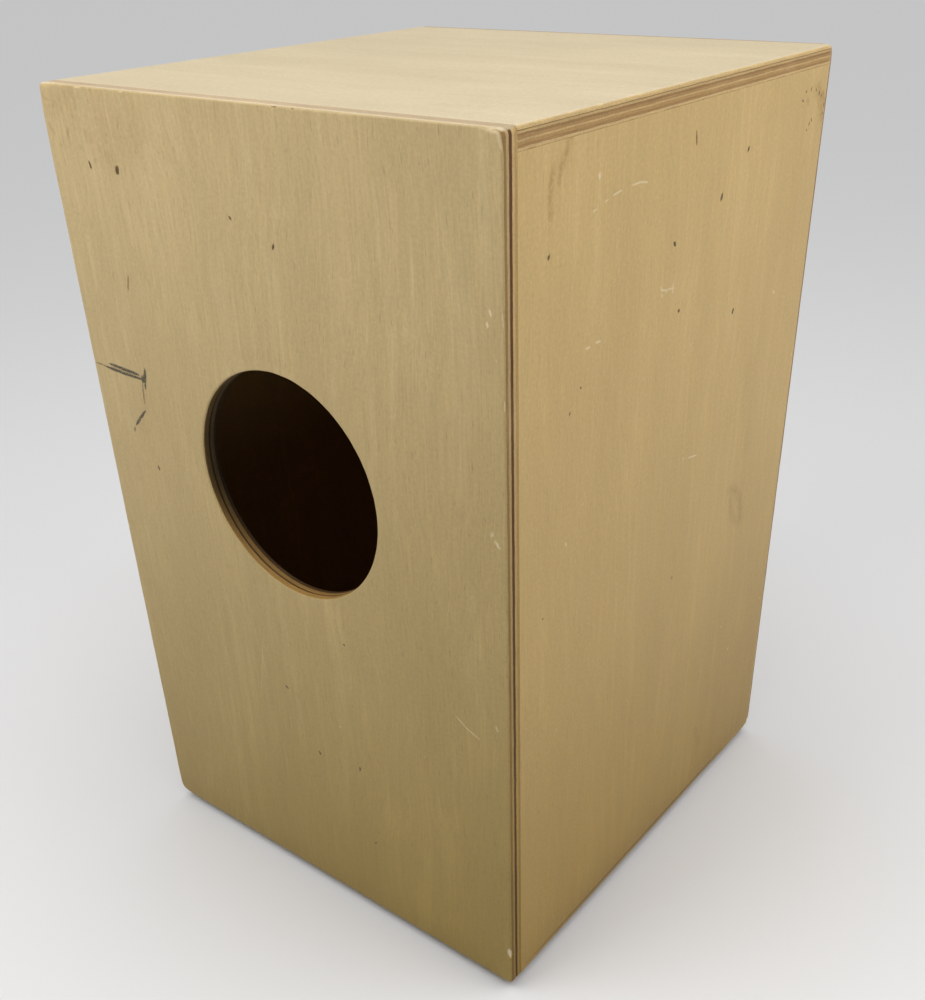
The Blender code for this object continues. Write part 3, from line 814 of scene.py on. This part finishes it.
SIDE_MARKS = strokes(
    "bare", (0.7, 0.05, 0.61, (92, 441.8), (88.4, 442.3)),
    (0.6, 0.05, 0.61, (82.6, 444.1), (78.8, 444.7)), (0.8, 0.05, 0.65, (75.5, 445.6), (67.9, 446.6)),
    (0.9, 0.06, 0.65, (59.5, 447.1), (52, 447.2), (44.8, 446)),
    (1.7, 0.1, 0.8, (86.8, 457.4), (86.6, 454.4)), (1.4, 0.2, 0.65, (20.8, 390.2), (19.8, 388.4)),
    (1.1, 0.1, 0.65, (94.4, 380.8), (90.6, 380.6)), (1.1, 0.1, 0.65, (86, 381.2), (81.5, 380.9)),
    (1.1, 0.1, 0.65, (-11.3, 285.4), (-13, 285)), (0.8, 0.06, 0.61, (-17, 283.8), (-28.5, 281.5)),
    (1.6, 0.2, 0.61, (-111, 356.4), (-112.4, 355.2)), (1.6, 0.2, 0.58, (-151, 306.8), (-152, 304.8)),
    (0.7, 0.3, 0.61, (118, 484.8), (112, 484.8)), (0.8, 0.02, 0.25, (-6, 356), (-14.5, 349)),
    (0.5, 0.02, 0.25, (40, 150), (34, 138)),
    "smudge", (3.8, 0, 0.75, (110.8, 475.5), (112.6, 471), (115.5, 467), (117.6, 462.7)),
    (2.6, 0, 0.7, (117.2, 464.7), (118, 461), (118.6, 458.4)),
    (3, 0, 0.75, (122.9, 464.1), (124.6, 457.8), (125.2, 452.3), (124.4, 446.4)),
    "dark", (1.1, 0, 0.55, (0.8, 462.1), (-0.4, 455.2)), (1.4, 0.1, 0.8, (125.8, 428.6), (125, 430.6)),
    (1.5, 0.1, 0.85, (-58, 443.2), (-59.2, 445.4)), (1.5, 0.1, 0.85, (-58.4, 359.2), (-57.8, 357.8)),
    "bare", (1, 0.1, 0.61, (-56, 358.9), (-56.2, 357.7)),
    "dark", (1.3, 0, 0.62, (143, 10.9), (100, 10.5), (40, 10.8), (-40, 10.4), (-110, 10.6)),
    "smudge", (7, 0, 0.6, (-140, 464), (-147, 457), (-151.5, 447.6)),
    (3, 0, 0.8, (-141, 465.5), (-144, 463)), (2.6, 0, 0.85, (-149, 460.5), (-151.8, 456)),
    (2.2, 0, 0.75, (-128.5, 459), (-130, 457.5)), (2.6, 0, 0.8, (-151.5, 449), (-152, 446)),
    (5.5, 0, 0.6, (-78.6, 238.8), (-86, 236), (-95, 226), (-98.9, 208.9)),
    (4.5, 0, 0.5, (-80.6, 232), (-84, 220), (-93, 209)), (4, 0, 0.35, (-61.3, 61), (-68.7, 42.9)),
    (10, 0, 0.2, (-90, 320), (-96, 260)), (18, 0, 0.18, (130, 20), (0, 14), (-130, 14)))
SIDE_MARKS += dots("dark", 1.6, 0.05, 0.95, (15.2, 411.4), (-32.1, 425), (6.1, 375.4))
SIDE_MARKS += dots("dark", 0.9, 0.03, 0.75, (97.8, 362.9), (106.8, 352.9), (127.7, 250), (-9.1, 208.1))
SIDE_MARKS += dots("bare", 0.9, 0.1, 0.42, (-12.4, 353), (-31, 302.9), (93.2, 300.8))
SIDE_MARKS += strokes(
    "bare", (0.9, 0.06, 0.6, (26.8, 391.4), (20.5, 389.6)),
    (0.9, 0.06, 0.6, (19.5, 389.9), (12.6, 388.9)), (0.9, 0.06, 0.6, (26.5, 393.5), (25.4, 390.4)),
    (0.9, 0.06, 0.6, (25, 389.2), (24.3, 386.9)), (0.9, 0.06, 0.6, (14, 392.3), (13.6, 386.2)))
SIDE_MARKS += dots(
    "dark", 1.1, 0.02, 0.5, (-138.8, 463.1), (-146.9, 459.5), (-152.5, 456.2), (-152.1, 453.6),
    (-152.1, 449.5), (-121.9, 459.7), (-131.7, 464.3), (-125.1, 463.9), (-136.9, 447.7),
    (-134.2, 445.9), (-131.5, 443.1), (-143.6, 461))
SIDE_MARKS += dots(
    "bare", 1.2, 0.06, 0.55, (-148.8, 124.1), (-102.5, 105.5), (-86.9, 131.8), (107.6, 283.7))
SIDE_MARKS += dots("bare", 0.9, 0.05, 0.45, (93.3, 300), (113.9, 170.8))

LEFT_MARKS = strokes(
    "bare", (0.68, 0.05, 0.58, (40, 401), (52, 404.5)), (0.54, 0.05, 0.5, (-90, 222), (-84, 208)),
    "smudge", (12, 0, 0.3, (60, 90), (95, 70)),
    "dark", (1.6, 0.1, 0.8, (-31, 340), (-30.4, 342.4)))
LEFT_MARKS += dots("dark", 1.38, 0.05, 0.9, (88, 431), (-104, 388), (21, 262), (-60, 141), (112, 96))
LEFT_MARKS += dots("bare", 0.71, 0.1, 0.42, (71, 300), (-12, 190), (130, 250))

TOP_MARKS = strokes(
    "bare", (0.95, 0.1, 0.43, (-149.7, 112), (-149.7, 106)),
    (1.09, 0.3, 0.43, (-149.7, 91), (-149.7, 86)),
    "smudge", (22, 0, 0.12, (-60, 60), (40, 40)), (6, 0, 0.16, (-112, 118), (-88, 121)),
    "dark", (0.5, 0.03, 0.16, (-40, 118), (10, 112)), (0.5, 0.03, 0.14, (30, -20), (62, -32)))

TAPA_MARKS = strokes(
    "smudge", (60, 0, 0.26, (-60, 420), (0, 400), (60, 420)), (46, 0, 0.2, (-40, 330), (45, 335)),
    "bare", (0.48, 0.03, 0.43, (-70, 240), (-58, 262)), (0.61, 0.03, 0.43, (84, 180), (92, 171)))
TAPA_MARKS += dots("dark", 1.49, 0.05, 0.9, (-102, 290), (34, 214), (96, 388), (-20, 96))


# The box

def sound_hole():
    """The hole's centre on the rear face, its radius and the side its rim is worn on."""
    openings = {opening["name"]: opening for opening in frame["record"]["physics"]["openings"]}
    low, high = openings["sound_hole"]["box_m"]
    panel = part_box("rear_panel")[1]
    return Vector(((low[0] + high[0]) / 2, panel.y, (low[2] + high[2]) / 2)), HOLE_RADIUS, X


def box_panels():
    low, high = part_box("rear_panel")
    rear_y, base, top = high.y, low.z, high.z
    front_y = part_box("tapa")[0].y
    half = high.x
    knocks = [(Vector((half, rear_y, base)), 2.8, 5), (Vector((-half, front_y, base)), 3, 6),
              (Vector((-half, rear_y, base)), 1.6, 4), (Vector((-half, rear_y, top)), 3.2, 6),
              (Vector((half, rear_y, top)), 2.6, 11), (Vector((-half, front_y, top)), 2.5, 5)]
    # Painted shade: tints that darken the rear and side panels towards their base.
    rear_base_shade = ((0.49, 0.436, 0.13), (0.37, 0, 1), -0.12, 0.56)
    side_base_shade = ((0.482, 0.403, 0.06), (0, -0.21, 1), -0.18, 0.47)

    hole = sound_hole()
    rear = ply_material("rear_ply", Y, rear_y, REAR_LAYERS, REAR, Z, REAR_ABOVE,
                        rear_base_shade, hole, strength=1.9)
    wood_panel("rear_panel", -X, Z, SIDES, (3, 2.2, 4, 1.6), 0.7, rear, hole=hole,
               knocks=knocks, marks=REAR_MARKS, plies=[(5.3, 0.6, 0.35), (1.7, 0.5, 0.12)],
               wall_rows=14)
    for side, out, corner, radius, marks in (("right", -X, 4, 1, SIDE_MARKS),
                                             ("left", X, 0, 1.2, LEFT_MARKS)):
        ply = ply_material("side_" + side + "_ply", out, out.x * half, SIDE_LAYERS, SIDE, Z,
                           base_shade=side_base_shade, strength=1.25)
        wood_panel("side_panel_" + side, out.x * Y, Z, ("v-",), (0, 0, 0, corner), radius, ply,
                   knocks=knocks, marks=marks)
    seat = ply_material("top_ply", Z, top, TOP_LAYERS, TOP, X, strength=0.55, face_ply=2)
    wood_panel("top_panel", X, Y, ("u+", "u-"), (0, 0, 0, 0), 1.3, seat, knocks=knocks,
               marks=TOP_MARKS, plies=[(2.45, 0.3, 0.35), (7.8, 0.3, 0.12)], wall_rows=18)
    below = ply_material("bottom_ply", -Z, base, SIDE_LAYERS, SIDE, Y)
    wood_panel("bottom_panel", Y, X, (), (0, 0, 0, 0), 0.5, below)
    skin = ply_material("tapa_ply", -Y, front_y, TAPA_LAYERS, FRONT, Z, strength=1.5)
    wood_panel("tapa", X, Z, SIDES, (3, 3, 6, 3), 0.9, skin, knocks=knocks, marks=TAPA_MARKS,
               wall_rows=5)


# Hardware

def lathe(bm, profile, segments):
    """Turn a profile of (radius, height) points about Z into a bmesh; radius 0 makes a tip."""
    rings = []
    for radius, height in profile:
        if radius == 0:
            rings.append([bm.verts.new((0, 0, height))])
            continue
        turns = [tau * i / segments for i in range(segments)]
        around = [(radius * cos(a), radius * sin(a), height) for a in turns]
        rings.append([bm.verts.new(place) for place in around])
    for first, second in pairwise(rings):
        for i in range(segments):
            j = (i + 1) % segments
            corners = [first[i % len(first)], first[j % len(first)], second[j % len(second)],
                       second[i % len(second)]]
            bm.faces.new(list(dict.fromkeys(corners)))


def cross(half_width, arm):
    """The twelve corners of a cross recess."""
    quarter = [(arm, half_width), (half_width, half_width), (half_width, arm)]
    corners = []
    for turn in range(4):
        c, s = round(cos(turn * pi / 2)), round(sin(turn * pi / 2))
        corners += [(c * x - s * y, s * x + c * y) for x, y in quarter]
    return corners


def screw_mesh(length, material):
    """A pan-head wood screw with a cross recess: z is 0 under its head, which looks along +Z."""
    segments = 36
    angles = [tau * i / segments for i in range(segments)]
    loops, points = [], []
    head = [(SCREW_HEAD * cos(a), SCREW_HEAD * sin(a)) for a in angles]
    for ring in (head, cross(0.52 * MM, 1.9 * MM), cross(0.3 * MM, 1.3 * MM)):
        loops.append(list(range(len(points), len(points) + len(ring))))
        points += ring
    for share in (0.97, 0.9, 0.8, 0.66):
        points += [(share * x, share * y) for x, y in head]
    coords, faces, loops = triangles(np.array(points), loops)
    share = norm(coords, axis=1) / SCREW_HEAD
    heights = SCREW_RISE * (1 - 0.22 * share ** 2 - 0.5 * share ** 9)
    heights[loops[2]] = SCREW_RISE - 1.25 * MM
    bm = bmesh.new()
    verts = [bm.verts.new((*place, height)) for place, height in zip(coords, heights)]
    for face in faces:
        bm.faces.new([verts[i] for i in face])
    rim = SCREW_RISE * 0.28
    lathe(bm, [(SCREW_HEAD, rim), (SCREW_HEAD, 0.15 * MM), (SCREW_HEAD - 0.15 * MM, 0),
               (SCREW_SHANK, 0), (SCREW_SHANK, 3 * MM - length), (0, -length)], segments)
    mesh = turned_mesh(bm, "screw")
    mesh.materials.append(material)
    return mesh


def turn_to(direction):
    return Vector(direction).to_track_quat("Z", "Y").to_matrix().to_4x4()


def bar_frame():
    """The snare bar's own frame: X along the bar, and Z along the wires, leaning with them."""
    low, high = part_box("snare_bar")
    return Matrix.Translation((low + high) / 2) @ Matrix.Rotation(-SNARE_LEAN, 4, "X")


def screws():
    """A detailed screw for each plain one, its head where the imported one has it."""
    steel = zinc()
    lengths = {"tapa": 15, "foot": 12, "clip": 10, "snare": 10}
    meshes = {kind: screw_mesh(length * MM, steel) for kind, length in lengths.items()}
    for number, name in enumerate(sorted(n for n in frame["nodes"] if "screw" in n)):
        low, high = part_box(name)
        seat = (low + high) / 2
        kind = name.split("_")[0]
        body, place = "box", Matrix()
        if kind == "tapa":
            out = -Y
            seat.y = low.y + SCREW_RISE
        elif kind == "foot":
            out = -Z
            seat.z = low.z + SCREW_RISE
        elif kind == "clip":
            out = X if seat.x < 0 else -X
            seat.x = (high.x if seat.x < 0 else low.x) - out.x * SCREW_RISE
        else:
            body, place, out = "snare", bar_frame(), -Y
            depth = SNARE_DEPTH + SNARE_PLATE[1] / 2 + 0.3 * MM
            seat = Vector((seat.x, -depth, SNARE_PLATE_CENTRE))
        spin = Matrix.Rotation(radians(37 * number), 4, "Z")
        piece = finished(meshes[kind], name + "_cross", steel, body, [name], 40)
        piece.matrix_world = place @ Matrix.Translation(seat) @ turn_to(out) @ spin


def arc(centre, radius, start, end, steps):
    """Points of a circle's arc, as (radius, height) pairs, its angles in degrees."""
    angles = [radians(start + (end - start) * i / steps) for i in range(steps + 1)]
    return [(centre[0] + radius * cos(a), centre[1] + radius * sin(a)) for a in angles]


def feet(black):
    """Turned rubber feet with a soft lower edge, a shallow waist line and a screw recess."""
    low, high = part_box("foot_rear_right")
    height = (high.z - low.z) / MM
    outer = (high.x - low.x) / 2 / MM
    profile = [(1.8, height), (outer - 0.4, height)]
    profile += arc((outer - 0.4, height - 0.4), 0.4, 80, 0, 4)
    profile += [(outer - 0.28, height - 2.2), (outer - 0.62, height - 2.5),
                (outer - 0.5, height - 2.8)]
    profile += arc((outer - 2.7, 1.4), 1.4, 5, -90, 7)
    profile += arc((5.5, 0.5), 0.5, -90, -180, 4)
    profile += [(4.9, 2.8)]
    profile += arc((4.5, 2.8), 0.4, 0, 90, 4)
    profile += [(1.8, 3.2), (1.8, height)]
    bm = bmesh.new()
    lathe(bm, [(radius * MM, rise * MM) for radius, rise in profile], 48)
    mesh = turned_mesh(bm, "foot")
    for name in sorted(n for n in frame["nodes"] if n.startswith("foot_") and "screw" not in n):
        low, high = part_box(name)
        piece = finished(mesh, name + "_rubber", black, "box", [name])
        piece.location = ((low.x + high.x) / 2, (low.y + high.y) / 2, low.z)


def coil(x, top, bottom, faces, points):
    """One snare wire: a close coil of round wire that hangs from the end plate."""
    turns = (top - bottom) / COIL_TURN
    around, sides = 7, 4
    steps = int(turns * around)
    slope = COIL_TURN / (tau * COIL_RADIUS)
    for i in range(steps + 1):
        angle = tau * i / around
        out = Vector((cos(angle), sin(angle), 0))
        ahead = Vector((-sin(angle), cos(angle), -slope)).normalized()
        beside = out.cross(ahead)
        centre = Vector((x, -SNARE_DEPTH, top - (top - bottom) * i / steps)) + out * COIL_RADIUS
        first = len(points)
        for side in range(sides):
            turn = tau * side / sides
            points.append(centre + COIL_WIRE * (cos(turn) * out + sin(turn) * beside))
        if i:
            for side in range(sides):
                other = (side + 1) % sides
                above = first - sides
                faces.append((above + side, above + other, first + other, first + side))
    last = len(points) - sides
    faces.append(tuple(range(last, last + sides)))
    faces.append(tuple(reversed(range(last - steps * sides, last - (steps - 1) * sides))))


def snare_sets():
    """Each set: a pressed end plate with softened edges, and ten coils soldered to it."""
    spring = spring_steel()
    place = bar_frame()
    plate_low = SNARE_PLATE_CENTRE - SNARE_PLATE[2] / 2
    for side, sign in (("right", -1), ("left", 1)):
        middle = Vector((sign * SNARE_OFFSET, -SNARE_DEPTH, SNARE_PLATE_CENTRE))
        bm = bmesh.new()
        shape = Matrix.Translation(middle) @ Matrix.Diagonal((*SNARE_PLATE, 1.0))
        bmesh.ops.create_cube(bm, size=1.0, matrix=shape)
        upright = [e for e in bm.edges if abs((e.verts[0].co - e.verts[1].co).y) > 0.5 * MM]
        bmesh.ops.bevel(bm, geom=upright, offset=1.6 * MM, segments=4, profile=0.5, affect="EDGES")
        rim = [e for e in bm.edges if len({round(v.co.y, 6) for v in e.verts}) == 1
               and any(abs(f.normal.y) > 0.9 for f in e.link_faces)]
        bmesh.ops.bevel(bm, geom=rim, offset=0.35 * MM, segments=2, profile=0.5, affect="EDGES")
        plate = mesh_of(bm, "plate")
        points = [vertex.co.copy() for vertex in plate.vertices]
        faces = [tuple(face.vertices) for face in plate.polygons]
        bpy.data.meshes.remove(plate)
        for i in range(SNARE_WIRES):
            x = middle.x + (i - (SNARE_WIRES - 1) / 2) * SNARE_PITCH
            coil(x, plate_low + 2.4 * MM, SNARE_TIP, faces, points)
        mesh = bpy.data.meshes.new("snare_coils_" + side)
        mesh.from_pydata([tuple(place @ point) for point in points], [], faces)
        name = "snare_wires_" + side
        finished(mesh, name + "_coils", spring, "snare", [name], 60)


def carried_over(black):
    """CAD nodes whose shape is right: each gets softened edges and a material."""
    upright = plain_wood("pine_upright", Z, PINE)
    level = plain_wood("pine_level", X, PINE)
    looks = {"batten_right": (upright, 0.8), "batten_left": (upright, 0.8),
             "batten_bottom": (level, 0.8), "batten_top": (level, 0.8), "snare_bar": (level, 0.4)}
    plastic = nylon()
    for side in ("right", "left"):
        looks["bar_sleeve_" + side] = (black, 0.3)
        looks["snare_clip_" + side] = (plastic, 0.5)
    for name, (material, width) in looks.items():
        thing = frame["nodes"][name]
        thing.data.materials.clear()
        thing.data.materials.append(material)
        bevel = thing.modifiers.new("softened", "BEVEL")
        bevel.width = width * MM
        bevel.segments = 2
        bevel.limit_method = "ANGLE"
        bevel.angle_limit = radians(40)
        bevel.harden_normals = True


# Stage

SKY_TONE = (0.97, 0.985, 1, 1)
SKY_STRENGTH = 0.14
SUN_STRENGTH = 1.9
SUN_SPREAD = radians(70)
SOFTBOXES = (("rear_light", (0.35, 0.78, 1.02), 5.2), ("side_light", (-0.88, -0.25, 1), 4.3))
SOFTBOX_TARGET = (0, 0, 0.35)
SOFTBOX_SIZE = 0.7
FLOOR_TONE = (0.76, 0.76, 0.765)
FLOOR_REACH = 60


def stage():
    bm = bmesh.new()
    bmesh.ops.create_grid(bm, x_segments=1, y_segments=1, size=FLOOR_REACH)
    floor = placed("floor", mesh_of(bm, "floor"))
    floor.data.materials.append(Graph("pale_floor").finish(FLOOR_TONE, 0.9, specular=0.1))

    world = bpy.data.worlds.new("studio")
    world.use_nodes = True
    sky = world.node_tree.nodes["Background"]
    sky.inputs[0].default_value = SKY_TONE
    sky.inputs[1].default_value = SKY_STRENGTH
    bpy.context.scene.world = world
    sun = lamp("overhead", "SUN", (0, 0, 2), (0.06, -0.05, 0), SUN_STRENGTH)
    sun.data.angle = SUN_SPREAD
    for name, place, power in SOFTBOXES:
        lamp(name, "AREA", place, SOFTBOX_TARGET, power).data.size = SOFTBOX_SIZE
    bpy.context.scene.view_settings.view_transform = "Standard"


def lamp(name, kind, place, target, energy):
    light = bpy.data.lights.new(name, kind)
    light.energy = energy
    thing = placed(name, light)
    thing.location = place
    thing.rotation_euler = (Vector(target) - Vector(place)).to_track_quat("-Z", "Y").to_euler()
    return thing


def camera():
    data = bpy.data.cameras.new("camera")
    data.lens = CAMERA_LENS
    data.shift_x, data.shift_y = CAMERA_SHIFT
    view = placed("camera", data)
    view.location = CAMERA_PLACE
    view.rotation_euler = [radians(angle) for angle in CAMERA_TURN]
    bpy.context.scene.camera = view


camera()
stage()
box_panels()
screws()
black = rubber()
feet(black)
snare_sets()
carried_over(black)
